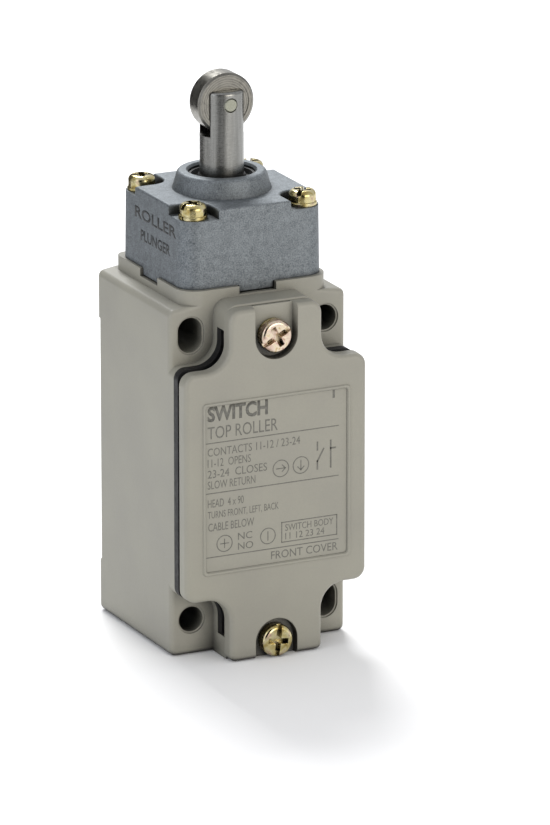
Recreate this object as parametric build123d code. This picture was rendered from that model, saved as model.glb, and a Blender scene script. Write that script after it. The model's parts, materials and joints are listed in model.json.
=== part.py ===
"""Limit switch with a top roller plunger: die-cast case and cover, square operating head, inner switch block.

Frame: +Z runs up the plunger, the front (cover side) faces -Y, and the origin is on the plunger's axis
at the bottom face of the case, in the middle of the conduit entry. All sizes are in millimetres.
"""
from math import atan2, degrees
import os

from build123d import *

# ---------------------------------------------------------------- driving dimensions
# mounting pattern
hole_pitch_x = 30.0
hole_pitch_z = 60.0
hole_low_z = 7.45
hole_radius = 2.65
slot_extra = 2.0            # how much longer a slot is than it is wide

# case
case_half_width = 19.65
case_back_y = 18.0
ear_front_y = -16.8
rim_front_y = -18.7         # face that carries the gasket
lip_front_y = -22.55        # raised pads at both ends of the necks, under the cover's ends
lip_top_low_z = 69.2
lip_foot_high_z = 4.5
post_half_width = 4.2       # the pads reach inward round the cover screws
post_half_height = 3.0
shoulder_outer_z = 72.9      # the ears' shoulders rise a little towards the plinth
shoulder_inner_z = 73.4
shoulder_radius = 1.4
plinth_top_z = 76.4
plinth_half_width = 16.4
plinth_back_y = 16.8
wall = 3.0
back_wall = 3.0
back_recess = 1.4
rim_neck_half_width = 10.0
rim_low_z = 13.4
rim_high_z = 61.7
rim_top_z = 74.4
root_radius = 5.0           # where a neck meets the wide middle
conduit_radius = 9.25
conduit_length = 12.0

# cover
cover_back_y = -22.6
cover_front_y = -25.5
cover_half_width = 20.3
cover_neck_half_width = 10.35
cover_bottom_z = 0.02
cover_top_z = 74.0
cover_low_z = 13.7
cover_high_z = 61.8
cover_screw_top_z = 67.7
cover_screw_bottom_z = 3.5
cover_screw_radius = 3.4
recess_floor_top_y = -23.4
recess_floor_bottom_y = -23.8
recess_half_width = 4.5
cover_washer_height = 0.7
cover_head_height = 1.9
pry_slot_half_width = 4.3   # slit for a screwdriver between the cover's upper end and the case
label_half_width = 16.6
label_low_z = 19.2
label_high_z = 55.7
label_frame_width = 0.85
label_frame_height = 0.28
label_depth = 0.15
gasket_front_y = -20.6

# operating head
head_half_width = 15.8
head_top_z = 92.5
head_draft = 0.2            # how much narrower each side is at the top
head_corner_radius = 4.1
head_screw_offset = 12.2
head_screw_height = 2.4
head_washer_height = 0.75
pocket_edge = 8.0
pocket_floor_z = 90.5
tab_width = 7.6
tab_bottom_z = 75.05
tab_gap = 0.3
boss_base_radius = 10.12
boss_top_radius = 9.0
boss_top_z = 96.3
seal_bore_radius = 6.8
seal_floor_z = 92.3

# plunger and roller
plunger_radius = 4.5
plunger_top_z = 113.2
plunger_low_z = 79.0
fork_slot_half_width = 2.53
fork_slot_z = 103.8
pin_z = 110.5
pin_radius = 1.5
roller_radius = 6.25
roller_half_width = 2.4

# guide and return spring
bush_outer_radius = 6.0
bush_bore_radius = 4.54
bush_low_z = 84.8
head_chamber_radius = 7.2
head_chamber_top_z = 86.0
spring_seat_z = 72.0
ring_top_z = 84.75
cup_top_z = 83.7
cup_low_z = 82.9
push_rod_radius = 2.0
push_rod_low_z = 63.05
push_rod_top_z = 82.0

# inner switch block
block_half_width = 15.2
block_front_y = -6.0
block_back_y = 10.5
block_low_z = 24.0
block_high_z = 58.0
pocket_half_width = 7.4
pocket_low_z = 26.5
pocket_high_z = 56.5
pocket_back_y = 6.0
strip_thickness = 0.8
nc_strip_z = 45.0
no_strip_z = 34.5
terminal_x = 11.6
terminal_drop = 4.3         # from a contact strip to its terminal screw
block_screw_z = 40.0
contact_gap = 2.05
rivet_height = 0.35
nc_bridge_low = nc_strip_z - rivet_height - strip_thickness - 0.37
no_bridge_low = no_strip_z + strip_thickness + 2 * rivet_height + contact_gap

very_far = 60.0


# ---------------------------------------------------------------- small helpers
def facing_front(y):
    """Plane at depth y whose outward side is the front; its local axes are +X and +Z."""
    return Plane(origin=(0, y, 0), x_dir=(1, 0, 0), z_dir=(0, -1, 0))


def slab(sketch, back_y, front_y, taper=0.0):
    """Push a sketch drawn in X and Z from back_y forward to front_y."""
    return extrude(facing_front(back_y) * sketch, amount=back_y - front_y, taper=taper)


def rod(radius, low, high, x=0.0, y=0.0):
    """Upright cylinder."""
    return Pos(x, y, (low + high) / 2) * Cylinder(radius, high - low)


def rod_front(radius, back_y, front_y, x, z):
    """Cylinder along Y."""
    return Pos(x, (back_y + front_y) / 2, z) * Rot(90, 0, 0) * Cylinder(radius, back_y - front_y)


def block(x0, x1, y0, y1, z0, z1):
    """Box between two corners."""
    return Pos((x0 + x1) / 2, (y0 + y1) / 2, (z0 + z1) / 2) * Box(x1 - x0, y1 - y0, z1 - z0)


def ring(outer, inner, low, high):
    """Upright tube."""
    return rod(outer, low, high) - rod(inner, low - 1, high + 1)


def one_solid(shape):
    """The single solid of a shape, or a compound of several."""
    solids = shape.solids()
    return solids[0] if len(solids) == 1 else Compound(children=list(solids))


def four_corners(offset):
    return [(-offset, -offset), (offset, -offset), (-offset, offset), (offset, offset)]


def coil(mean_radius, wire, low, high, turns, x=0.0, y=0.0):
    """Round-wire compression spring that stands between two levels."""
    height = high - low - wire
    path = Helix(pitch=height / turns, height=height, radius=mean_radius)
    section = Plane(origin=path @ 0, z_dir=path % 0) * Circle(wire / 2)
    return Pos(x, y, low + wire / 2) * sweep(section, path=path, is_frenet=True)


def pan_screw(head_radius, head_height, shank_radius, shank_length, slot_width, slot_turn=0.0):
    """Pan head screw with a deep cross recess and a shallower full slot, head up, underside at Z 0."""
    head = rod(head_radius, 0, head_height)
    head = fillet(head.edges().group_by(Axis.Z)[-1], head_height * 0.45)
    slot_floor = 0.55 * head_height
    cross_floor = 0.25 * head_height
    arm = 0.65 * head_radius
    arm_width = 0.58 * slot_width
    recess = block(-head_radius - 1, head_radius + 1, -slot_width / 2, slot_width / 2,
                   slot_floor, head_height + 1)
    recess += block(-arm, arm, -arm_width, arm_width, cross_floor, head_height + 1)
    recess += block(-arm_width, arm_width, -arm, arm, cross_floor, head_height + 1)
    shank = rod(shank_radius, -shank_length, 0.1)
    shank = chamfer(shank.edges().group_by(Axis.Z)[0], 0.35 * shank_radius)
    return head - Rot(0, 0, slot_turn) * recess + shank


def split_washer(outer, inner, height, turn=0.0):
    """Spring washer with its slanted split."""
    body = ring(outer, inner, 0, height)
    body = chamfer(body.edges().group_by(Axis.Z)[-1].sort_by(SortBy.LENGTH)[-1], 0.15)
    gap = Pos(outer, 0, height / 2) * Rot(20, 0, 0) * Box(2 * outer, 0.35, 4 * height)
    return body - Rot(0, 0, turn) * gap


def to_front(shape, x, y, z):
    """Stand an upright fastener so that its head faces the front."""
    return Pos(x, y, z) * Rot(90, 0, 0) * shape


def necked_outline(half_side, half_neck, bottom, top, low, high, outer_r, inner_r, foot_r, top_r):
    """Wide middle between two narrow necks, with round corners."""
    middle = Pos(0, (low + high) / 2) * Rectangle(2 * half_side, high - low)
    neck = Pos(0, (bottom + top) / 2) * Rectangle(2 * half_neck, top - bottom)
    outline = middle + neck

    def fillet_where(shape, rule, radius):
        return fillet(shape.vertices().filter_by(rule), radius) if radius else shape

    outline = fillet_where(outline, lambda v: abs(v.X) > half_neck + 0.5, outer_r)
    outline = fillet_where(outline, lambda v: abs(abs(v.X) - half_neck) < 0.01
                           and low - 0.01 < v.Y < high + 0.01, inner_r)
    outline = fillet_where(outline, lambda v: v.Y < bottom + 0.01, foot_r)
    return fillet_where(outline, lambda v: v.Y > top - 0.01, top_r)


# ---------------------------------------------------------------- case
def mounting_holes():
    """Through tools for two round holes and two upright slots, on opposite corners, with a rim chamfer."""
    tools = []
    for side in (-1, 1):
        for level in (0, 1):
            centre = Pos(side * hole_pitch_x / 2, hole_low_z + level * hole_pitch_z)
            slotted = (side == -1) == (level == 1)
            for grow, back, front in ((0.0, case_back_y + 1, ear_front_y - 1),
                                      (0.35, ear_front_y + 0.35, ear_front_y - 1)):
                outline = Circle(hole_radius + grow)
                if slotted:
                    outline = Rot(0, 0, 90) * SlotCenterToCenter(slot_extra, 2 * (hole_radius + grow))
                tools.append(slab(centre * outline, back, front))
    return tools


def ear_block():
    """Full-height block of the ears with round shoulders, and the plinth the head stands on."""
    half = Polyline((0, 0), (case_half_width, 0), (case_half_width, shoulder_outer_z),
                    (plinth_half_width, shoulder_inner_z), (0, shoulder_inner_z))
    profile = make_face(half + mirror(half, Plane.YZ))
    corners = profile.vertices().filter_by(lambda v: abs(v.X) > case_half_width - 0.01)
    profile = fillet(corners, shoulder_radius)
    body = slab(profile, case_back_y, ear_front_y)
    upright = body.edges().filter_by(Axis.Z).filter_by(lambda e: e.length > 30)
    body = fillet(upright, 1.0)
    plinth_y = (plinth_back_y + ear_front_y) / 2
    plinth = extrude(Pos(0, plinth_y, shoulder_inner_z - 1)
                     * Rectangle(2 * plinth_half_width, plinth_back_y - ear_front_y),
                     amount=plinth_top_z - shoulder_inner_z + 1)
    uprights = plinth.edges().filter_by(Axis.Z).sort_by(Axis.Y)
    plinth = fillet(uprights[:2], 4.3)
    plinth = fillet(plinth.edges().filter_by(Axis.Z).sort_by(Axis.Y)[-2:], 2.6)
    return body + plinth


def raised_rim():
    """Wall that stands forward of the ears and follows the cover, with a pad at both ends of the necks."""
    outline = necked_outline(case_half_width, rim_neck_half_width, 0.0, rim_top_z,
                             rim_low_z, rim_high_z, 2.2, root_radius, 0, 2.8)
    rim = slab(outline, ear_front_y + 1, rim_front_y)
    ends = [Pos(0, (lip_top_low_z + rim_top_z) / 2) * Rectangle(40, rim_top_z - lip_top_low_z),
            Pos(0, lip_foot_high_z / 2) * Rectangle(40, lip_foot_high_z)]
    for end in ends:
        rim += slab(outline & end, rim_front_y + 1, lip_front_y)
    top_edges = rim.edges().filter_by(lambda e: abs(e.center().X) < 1 and e.center().Z > rim_top_z - 0.01
                                      and e.center().Y < lip_front_y + 0.01)
    rim = fillet(top_edges, 0.35)
    for z in (cover_screw_bottom_z, cover_screw_top_z):
        rim += slab(screw_post(z), rim_front_y + 1, lip_front_y)
    return rim


def screw_post(z, clearance=0.0):
    """Outline of the post that a cover screw goes into."""
    width = 2 * (post_half_width + clearance)
    height = 2 * (post_half_height + clearance)
    return Pos(0, z) * RectangleRounded(width, height, 1.2)


def cavity_outline():
    main = Pos(0, 37.75) * RectangleRounded(2 * (case_half_width - wall), 45.5, 3.0)
    neck = Pos(0, 37.15) * RectangleRounded(16.0, 50.3, 2.0)
    return main + neck


def case_cavity():
    """Hollow for the switch block, necked at both ends, with the wiring space above the conduit entry."""
    return slab(cavity_outline(), case_back_y - back_recess - back_wall, rim_front_y - 5)


def case():
    body = ear_block() + raised_rim()
    body -= case_cavity()
    # bosses for the block screws and the ground screw
    floor_y = case_back_y - back_recess - back_wall
    for side in (-1, 1):
        body += rod_front(3.3, floor_y + 0.5, block_back_y, side * terminal_x, block_screw_z)
    body += rod_front(3.6, floor_y + 0.5, -2.0, -12.9, 19.4)
    # holes for the screws
    for side in (-1, 1):
        body -= rod_front(1.25, floor_y + 0.6, block_back_y - 1, side * terminal_x, block_screw_z)
    body -= rod_front(1.6, 8.0, -3.0, -12.9, 19.4)
    for z in (cover_screw_bottom_z, cover_screw_top_z):
        body -= rod_front(1.65, -10.6, lip_front_y - 1, 0, z)
    for x, y in four_corners(head_screw_offset):
        body -= rod(1.5, 72.4, plinth_top_z + 1, x, y)
    # way down for the plunger, its spring and the push rod
    body -= rod(head_chamber_radius, spring_seat_z, plinth_top_z + 1)
    body -= rod(3.0, 60.0, spring_seat_z + 1)
    body -= ring(10.5, 8.5, plinth_top_z - 1.6, plinth_top_z + 1)
    # conduit entry
    body -= rod(conduit_radius, -1, conduit_length + 0.5)
    # notches that take the head's tabs
    for turn in range(4):
        notch = block(-tab_width / 2 - tab_gap, tab_width / 2 + tab_gap, -very_far, -12.8,
                      tab_bottom_z - tab_gap, plinth_top_z + 1)
        body -= Rot(0, 0, 90 * turn) * notch
    for tool in mounting_holes():
        body -= tool
    back_middle = Pos(0, 37.0) * Rectangle(2 * case_half_width + 2, 52.0)
    body -= slab(back_middle, case_back_y + 1, case_back_y - back_recess)
    return body


# ---------------------------------------------------------------- cover and gasket
def cover():
    outline = necked_outline(cover_half_width, cover_neck_half_width, cover_bottom_z, cover_top_z,
                             cover_low_z, cover_high_z, 2.6, root_radius, 1.4, 2.6)
    body = slab(outline, cover_back_y, cover_front_y, taper=2.0)
    front = body.faces().sort_by(Axis.Y)[0]
    body = fillet(front.edges(), 1.0)
    # screw recesses, open at the ends of the necks
    for z, way, floor_y in ((cover_screw_bottom_z, -1, recess_floor_bottom_y),
                            (cover_screw_top_z, 1, recess_floor_top_y)):
        u_shape = Pos(0, z) * Circle(recess_half_width)
        u_shape += Pos(0, z + way * 6) * Rectangle(2 * recess_half_width, 12)
        body -= slab(u_shape, floor_y, cover_front_y - 1, taper=-6.0)
        body -= rod_front(2.2, cover_back_y + 1, cover_front_y, 0, z)
    body -= block(-pry_slot_half_width, pry_slot_half_width, cover_back_y - 0.35, cover_back_y + 1,
                  cover_top_z - 2.5, cover_top_z + 1)
    # label field: a low frame round a slightly sunk panel
    mid_z = (label_low_z + label_high_z) / 2
    width = 2 * label_half_width
    height = label_high_z - label_low_z
    panel = RectangleRounded(width - 2 * label_frame_width, height - 2 * label_frame_width, 0.5)
    frame = slab(Pos(0, mid_z) * (RectangleRounded(width, height, 1.0) - panel),
                 cover_front_y + 0.1, cover_front_y - label_frame_height, taper=30.0)
    body -= slab(Pos(0, mid_z) * panel, cover_front_y + label_depth, cover_front_y - 1)
    return body + frame


def cover_gasket():
    """Flat rubber ring with a higher inner band that the cover presses on."""
    outer = necked_outline(case_half_width, rim_neck_half_width, lip_foot_high_z + 0.1, lip_top_low_z - 0.1,
                           rim_low_z, rim_high_z, 2.2, root_radius, 0.4, 0.4)
    band = necked_outline(case_half_width - 1.2, rim_neck_half_width - 1.1, lip_foot_high_z + 0.7,
                          lip_top_low_z - 0.7, rim_low_z + 1.2, rim_high_z - 1.2, 1.4, root_radius, 0.4, 0.4)
    inner = cavity_outline() + screw_post(cover_screw_bottom_z, 0.15) + screw_post(cover_screw_top_z, 0.15)
    return slab(outer - inner, rim_front_y, gasket_front_y) + slab(band - inner, rim_front_y, cover_back_y)


def cover_screw(z, floor_y, turn):
    screw = pan_screw(cover_screw_radius, cover_head_height, 1.6, 11.0, 1.0, turn)
    return to_front(screw, 0, floor_y - cover_washer_height, z)


def cover_washers():
    washers = [to_front(split_washer(cover_screw_radius, 2.1, cover_washer_height, turn), 0, floor_y, z)
               for z, floor_y, turn in ((cover_screw_bottom_z, recess_floor_bottom_y, 70),
                                        (cover_screw_top_z, recess_floor_top_y, 250))]
    return Compound(children=[one_solid(w) for w in washers])


# ---------------------------------------------------------------- operating head
def head_block():
    height = head_top_z - plinth_top_z
    body = extrude(Pos(0, 0, plinth_top_z)
                   * RectangleRounded(2 * head_half_width, 2 * head_half_width, head_corner_radius),
                   amount=height, taper=degrees(atan2(head_draft, height)))
    # corner pockets under the screw heads
    for turn in range(4):
        corner = Pos(pocket_edge + 10, pocket_edge + 10) * Rectangle(20, 20)
        corner = fillet(corner.vertices().sort_by(lambda v: v.X + v.Y)[0], 3.5)
        pocket = extrude(Pos(0, 0, pocket_floor_z) * corner, amount=5)
        body -= Rot(0, 0, 90 * turn) * pocket
    top_face = body.faces().sort_by(Axis.Z)[-1]
    body = fillet(top_face.edges(), 0.45)
    # boss round the plunger
    boss_height = boss_top_z - head_top_z
    slope = degrees(atan2(boss_base_radius - boss_top_radius, boss_height))
    boss = extrude(Pos(0, 0, head_top_z - 0.05) * Circle(boss_base_radius),
                   amount=boss_height + 0.05, taper=slope)
    boss = fillet(boss.edges().group_by(Axis.Z)[-1], 0.9)
    body += boss
    # bores: seal, bush and spring chamber
    body -= rod(seal_bore_radius, seal_floor_z, boss_top_z + 1)
    body -= Pos(0, 0, boss_top_z - 0.2) * Cone(seal_bore_radius, seal_bore_radius + 0.5, 0.6)
    body -= rod(bush_outer_radius, head_chamber_top_z - 1, seal_floor_z + 1)
    body -= rod(head_chamber_radius, plinth_top_z - 1, head_chamber_top_z)
    for x, y in four_corners(head_screw_offset):
        body -= rod(1.95, plinth_top_z - 1, pocket_floor_z + 1, x, y)
    # tabs that lock the head against turning
    for turn in range(4):
        tab = block(-tab_width / 2, tab_width / 2, -head_half_width, -13.1, tab_bottom_z, plinth_top_z + 0.5)
        body += Rot(0, 0, 90 * turn) * tab
    return body


def head_screws():
    turns = (12, 48, -20, 75)
    screws = []
    for (x, y), turn in zip(four_corners(head_screw_offset), turns):
        screw = pan_screw(2.75, head_screw_height, 1.75, 14.0, 0.95, turn) + rod(1.45, -17.5, -13.9)
        screws.append(Pos(x, y, pocket_floor_z + head_washer_height) * one_solid(screw))
    return Compound(children=screws)


def head_washers():
    turns = (200, 30, 300, 110)
    washers = [Pos(x, y, pocket_floor_z) * one_solid(split_washer(2.95, 1.9, head_washer_height, turn))
               for (x, y), turn in zip(four_corners(head_screw_offset), turns)]
    return Compound(children=washers)


def head_o_ring():
    return Pos(0, 0, plinth_top_z - 0.8) * Torus(9.5, 0.79)


def wiper_seal():
    """Rubber ring with a dished top and an inner lip close to the plunger."""
    lip = plunger_radius + 0.05
    points = [(lip + 0.9, seal_floor_z), (seal_bore_radius, seal_floor_z),
              (seal_bore_radius, boss_top_z - 0.9), (seal_bore_radius - 0.55, boss_top_z - 0.9),
              (seal_bore_radius - 0.9, boss_top_z - 1.9),
              (lip + 0.75, boss_top_z - 1.9), (lip + 0.3, boss_top_z - 1.0), (lip, boss_top_z - 1.2),
              (lip, boss_top_z - 2.3), (lip + 0.9, seal_floor_z + 1.0)]
    profile = make_face(Plane.XZ * Polyline(*points, close=True))
    return revolve(profile, Axis.Z)


def plunger_bush():
    body = rod(bush_outer_radius, bush_low_z, seal_floor_z)
    body += rod(head_chamber_radius - 0.1, bush_low_z, head_chamber_top_z)
    body -= rod(bush_bore_radius, bush_low_z - 1, seal_floor_z + 1)
    return body


# ---------------------------------------------------------------- plunger and roller
def plunger():
    body = rod(plunger_radius, plunger_low_z, plunger_top_z)
    body = fillet(body.edges().group_by(Axis.Z)[-1], 0.7)
    body = chamfer(body.edges().group_by(Axis.Z)[0], 0.5)
    body -= block(-very_far, very_far, -fork_slot_half_width, fork_slot_half_width,
                  fork_slot_z, plunger_top_z + 1)
    body -= rod_front(pin_radius, 10, -10, 0, pin_z)
    body -= ring(plunger_radius + 1, plunger_radius - 0.7, ring_top_z - 1.05, ring_top_z)
    body -= rod(push_rod_radius, plunger_low_z - 1, push_rod_top_z)
    return body


def roller():
    body = rod_front(roller_radius, roller_half_width, -roller_half_width, 0, pin_z)
    body = chamfer(body.edges().filter_by(GeomType.CIRCLE), 0.5)
    body -= rod_front(pin_radius + 0.03, 10, -10, 0, pin_z)
    # shallow turned groove in both faces
    for y in (-1, 1):
        outer = Pos(0, pin_z) * (Circle(4.9) - Circle(2.6))
        groove = slab(outer, roller_half_width + 0.15, roller_half_width - 0.15)
        if y < 0:
            groove = slab(outer, -roller_half_width + 0.15, -roller_half_width - 0.15)
        body -= groove
    return body


def roller_pin():
    body = rod_front(pin_radius, 4.45, -4.45, 0, pin_z)
    return chamfer(body.edges().filter_by(GeomType.CIRCLE), 0.3)


def retaining_ring():
    body = ring(6.4, plunger_radius - 0.7, ring_top_z - 1.0, ring_top_z)
    return body - block(0, very_far, -1.6, 1.6, ring_top_z - 2, ring_top_z + 1)


def spring_cup():
    body = ring(6.75, plunger_radius + 0.05, cup_low_z, cup_top_z)
    return body + ring(6.75, 6.35, cup_low_z - 1.2, cup_low_z + 0.1)


def return_spring():
    return coil(5.7, 0.9, spring_seat_z + 0.05, cup_low_z - 0.05, 4.25)


def push_rod():
    body = rod(push_rod_radius, push_rod_low_z, push_rod_top_z)
    return fillet(body.edges().group_by(Axis.Z)[0], 0.8)


# ---------------------------------------------------------------- switch block
def terminal(side, strip_z, way):
    """Bent brass strip: contact end in the pocket, screw pad on the front; way is +1 for a pad above."""
    contact = block(4.2, 10.0, -1.6, 1.6, strip_z, strip_z + strip_thickness)
    arm = block(8.6, 13.0, block_front_y - 0.9, 1.6, strip_z, strip_z + strip_thickness)
    low = strip_z if way > 0 else strip_z - 7.7
    high = strip_z + 8.5 if way > 0 else strip_z + strip_thickness
    pad = block(8.4, 14.8, block_front_y - 0.9, block_front_y, low, high)
    screw_z = terminal_screw_z(strip_z, way)
    body = contact + arm + pad
    body -= rod_front(1.75, 10, -20, terminal_x, screw_z)
    return body if side > 0 else mirror(body, Plane.YZ)


def terminal_screw_z(strip_z, way):
    return strip_z + way * terminal_drop + (strip_thickness if way > 0 else 0)


def terminal_places():
    """(name, side, strip height, direction of the pad) of the four terminals."""
    return [("nc_terminal_left", -1, nc_strip_z, 1), ("nc_terminal_right", 1, nc_strip_z, 1),
            ("no_terminal_left", -1, no_strip_z, -1), ("no_terminal_right", 1, no_strip_z, -1)]


def switch_base():
    mid_z = (block_low_z + block_high_z) / 2
    outline = Pos(0, mid_z) * RectangleRounded(2 * block_half_width, block_high_z - block_low_z, 1.2)
    body = slab(outline, block_back_y, block_front_y)
    body -= block(-pocket_half_width, pocket_half_width, block_front_y - 1, pocket_back_y,
                  pocket_low_z, pocket_high_z)
    body -= rod(2.6, pocket_high_z - 1, block_high_z + 1)
    for side in (-1, 1):
        body -= rod_front(1.7, block_back_y + 1, block_front_y - 1, side * terminal_x, block_screw_z)
        body -= rod_front(3.1, block_front_y + 2.2, block_front_y - 1, side * terminal_x, block_screw_z)
    for name, side, strip_z, way in terminal_places():
        body -= terminal(side, strip_z, way)
        body -= rod_front(1.9, block_front_y + 4.5, block_front_y - 1, side * terminal_x,
                          terminal_screw_z(strip_z, way))
    return body


def switch_cover():
    mid_z = (pocket_low_z + pocket_high_z) / 2
    height = pocket_high_z - pocket_low_z
    body = slab(Pos(0, mid_z) * RectangleRounded(2 * pocket_half_width + 1.2, height + 3, 0.8),
                block_front_y, block_front_y - 1.6)
    body += slab(Pos(0, mid_z) * Rectangle(2 * pocket_half_width - 0.1, height - 0.1),
                 block_front_y + 1.0, block_front_y - 0.1)
    return chamfer(body.faces().sort_by(Axis.Y)[0].edges(), 0.4)


def terminal_screws():
    screws = []
    for index, (name, side, strip_z, way) in enumerate(terminal_places()):
        screw = pan_screw(3.0, 1.9, 1.65, 6.2, 0.8, 25 + 40 * index)
        screws.append(to_front(one_solid(screw), side * terminal_x, block_front_y - 2.1,
                               terminal_screw_z(strip_z, way)))
    return Compound(children=screws)


def terminal_clamps():
    clamps = []
    for name, side, strip_z, way in terminal_places():
        plate = Box(6.0, 6.0, 1.2) - Cylinder(1.8, 5)
        plate = chamfer(plate.edges().filter_by(Axis.Z).group_by(SortBy.LENGTH)[0], 0.6)
        clamps.append(to_front(one_solid(plate), side * terminal_x, block_front_y - 1.5,
                               terminal_screw_z(strip_z, way)))
    return Compound(children=clamps)


def block_screws():
    screws = []
    for side in (-1, 1):
        screw = pan_screw(2.8, 1.9, 1.6, block_back_y - block_front_y - 2.2, 0.7, 20 + 50 * side)
        screw += rod(1.2, -17.8, -14)
        screws.append(to_front(one_solid(screw), side * terminal_x, block_front_y + 2.2, block_screw_z))
    return Compound(children=screws)


def ground_screw():
    screw = pan_screw(3.1, 1.9, 1.55, 9.0, 0.8, 35)
    return to_front(screw, -12.9, -3.2, 19.4)


def ground_clamp():
    plate = ring(3.3, 1.7, 0, 1.2)
    return to_front(plate, -12.9, -2.0, 19.4)


def switch_plunger():
    body = rod(2.5, 55.4, push_rod_low_z - 0.05)
    body = fillet(body.edges().group_by(Axis.Z)[-1], 0.5)
    return body + rod(3.4, 55.4, pocket_high_z - 0.1)


def overtravel_spring():
    return coil(2.0, 0.45, 47.55, 55.35, 5.0)


def contact_carriage():
    body = block(-2.6, 2.6, -3.5, 3.5, 33.9, 47.5)
    # windows for the two bridges
    body -= block(-very_far, very_far, -2.0, 2.0, 41.6, 45.5)
    body -= block(-very_far, very_far, -2.0, 2.0, 37.3, 40.9)
    return body


def bridge(low):
    """Contact bar that joins the two fixed contacts of a pair."""
    body = block(-6.6, 6.6, -1.5, 1.5, low, low + strip_thickness)
    return chamfer(body.edges().filter_by(Axis.Z), 0.6)


def contact_rivets(low, high):
    return [rod(1.1, low, high, side * 5.4) for side in (-1, 1)]


def fixed_contacts():
    rivets = contact_rivets(nc_strip_z - 0.35, nc_strip_z)
    rivets += contact_rivets(no_strip_z + strip_thickness, no_strip_z + strip_thickness + 0.35)
    return Compound(children=rivets)


def moving_contacts():
    rivets = contact_rivets(nc_bridge_low + strip_thickness, nc_bridge_low + strip_thickness + 0.35)
    rivets += contact_rivets(no_bridge_low - 0.35, no_bridge_low)
    return Compound(children=rivets)


def nc_contact_spring():
    return coil(1.3, 0.35, 41.62, nc_bridge_low - 0.02, 2.5)


def no_contact_spring():
    return coil(1.3, 0.35, no_bridge_low + strip_thickness + 0.02, 40.88, 2.0)


def carriage_spring():
    return coil(2.0, 0.45, pocket_low_z + 0.05, 33.85, 5.0)


# ---------------------------------------------------------------- write every node
def parts():
    nodes = {
        "case": case(),
        "cover": cover(),
        "cover_gasket": cover_gasket(),
        "cover_screw_top": cover_screw(cover_screw_top_z, recess_floor_top_y, 28),
        "cover_screw_bottom": cover_screw(cover_screw_bottom_z, recess_floor_bottom_y, 84),
        "cover_washers": cover_washers(),
        "head_block": head_block(),
        "head_screws": head_screws(),
        "head_washers": head_washers(),
        "head_o_ring": head_o_ring(),
        "wiper_seal": wiper_seal(),
        "plunger_bush": plunger_bush(),
        "plunger": plunger(),
        "roller": roller(),
        "roller_pin": roller_pin(),
        "retaining_ring": retaining_ring(),
        "spring_cup": spring_cup(),
        "return_spring": return_spring(),
        "push_rod": push_rod(),
        "switch_base": switch_base(),
        "switch_cover": switch_cover(),
        "terminal_screws": terminal_screws(),
        "terminal_clamps": terminal_clamps(),
        "block_screws": block_screws(),
        "ground_screw": ground_screw(),
        "ground_clamp": ground_clamp(),
        "switch_plunger": switch_plunger(),
        "overtravel_spring": overtravel_spring(),
        "contact_carriage": contact_carriage(),
        "nc_bridge": bridge(nc_bridge_low),
        "no_bridge": bridge(no_bridge_low),
        "fixed_contacts": fixed_contacts(),
        "moving_contacts": moving_contacts(),
        "nc_contact_spring": nc_contact_spring(),
        "no_contact_spring": no_contact_spring(),
        "carriage_spring": carriage_spring(),
    }
    for name, side, strip_z, way in terminal_places():
        nodes[name] = terminal(side, strip_z, way)
    return nodes


os.makedirs("parts", exist_ok=True)
for node, shape in parts().items():
    export_step(one_solid(shape), f"parts/{node}.step")
    print(f"{node}: {len(shape.solids())} solid(s)")
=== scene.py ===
import json
import math

import bmesh
import bpy
from mathutils import Matrix, Vector


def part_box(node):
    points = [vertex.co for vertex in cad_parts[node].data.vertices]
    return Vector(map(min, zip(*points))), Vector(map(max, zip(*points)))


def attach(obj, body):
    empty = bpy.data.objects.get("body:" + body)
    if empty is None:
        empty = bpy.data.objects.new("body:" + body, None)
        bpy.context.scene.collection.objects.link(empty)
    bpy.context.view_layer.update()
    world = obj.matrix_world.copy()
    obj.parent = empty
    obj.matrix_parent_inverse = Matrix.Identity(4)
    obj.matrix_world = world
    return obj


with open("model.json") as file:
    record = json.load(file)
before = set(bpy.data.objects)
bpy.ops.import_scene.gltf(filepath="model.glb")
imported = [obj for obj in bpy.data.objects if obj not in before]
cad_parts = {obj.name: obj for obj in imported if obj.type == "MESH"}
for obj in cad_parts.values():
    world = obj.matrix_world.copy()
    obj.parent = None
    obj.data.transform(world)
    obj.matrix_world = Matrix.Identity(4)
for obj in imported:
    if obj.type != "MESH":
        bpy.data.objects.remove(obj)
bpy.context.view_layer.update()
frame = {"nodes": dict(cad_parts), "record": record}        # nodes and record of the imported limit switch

# Metal limit switch with a top roller plunger. The CAD nodes keep their shape and get real finishes here.
# The printed field on the cover, the ink mark on the head and the conduit thread are added as meshes.

mm = 0.001
scene = bpy.context.scene
x, y, z = 0, 1, 2        # places of the axes in a corner
mixedColor = 2           # place of the colour among a mix node's outputs
raySamples = 6           # rays for softened edges and painted shade
recessSamples = 8        # rays for the small drive recesses


def linearColor(hexText, alpha=1.0):
    channels = [int(hexText[i:i + 2], 16) / 255 for i in (0, 2, 4)]
    return [c / 12.92 if c <= 0.04045 else ((c + 0.055) / 1.055) ** 2.4 for c in channels] + [alpha]


def addNode(tree, kind, inputs=None, stops=None, **settings):
    # one node with its settings, its values or links, and the colour stops of a ramp
    node = tree.nodes.new(kind)
    for name, value in settings.items():
        setattr(node, name, value)
    for socket, value in (inputs or {}).items():
        if isinstance(value, bpy.types.NodeSocket):
            tree.links.new(value, node.inputs[socket])
        else:
            node.inputs[socket].default_value = value
    for index, (position, hexText) in enumerate(stops or []):
        elements = node.color_ramp.elements
        element = elements[index] if index < len(elements) else elements.new(position)
        element.position = position
        element.color = linearColor(hexText)
    return node


def newMaterial(name):
    material = bpy.data.materials.new(name)
    material.use_nodes = True
    material.node_tree.nodes.clear()
    return material, material.node_tree


def perMm(sizeMm):
    # noise scale that gives blotches about sizeMm across
    return 1 / (sizeMm * mm)


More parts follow.
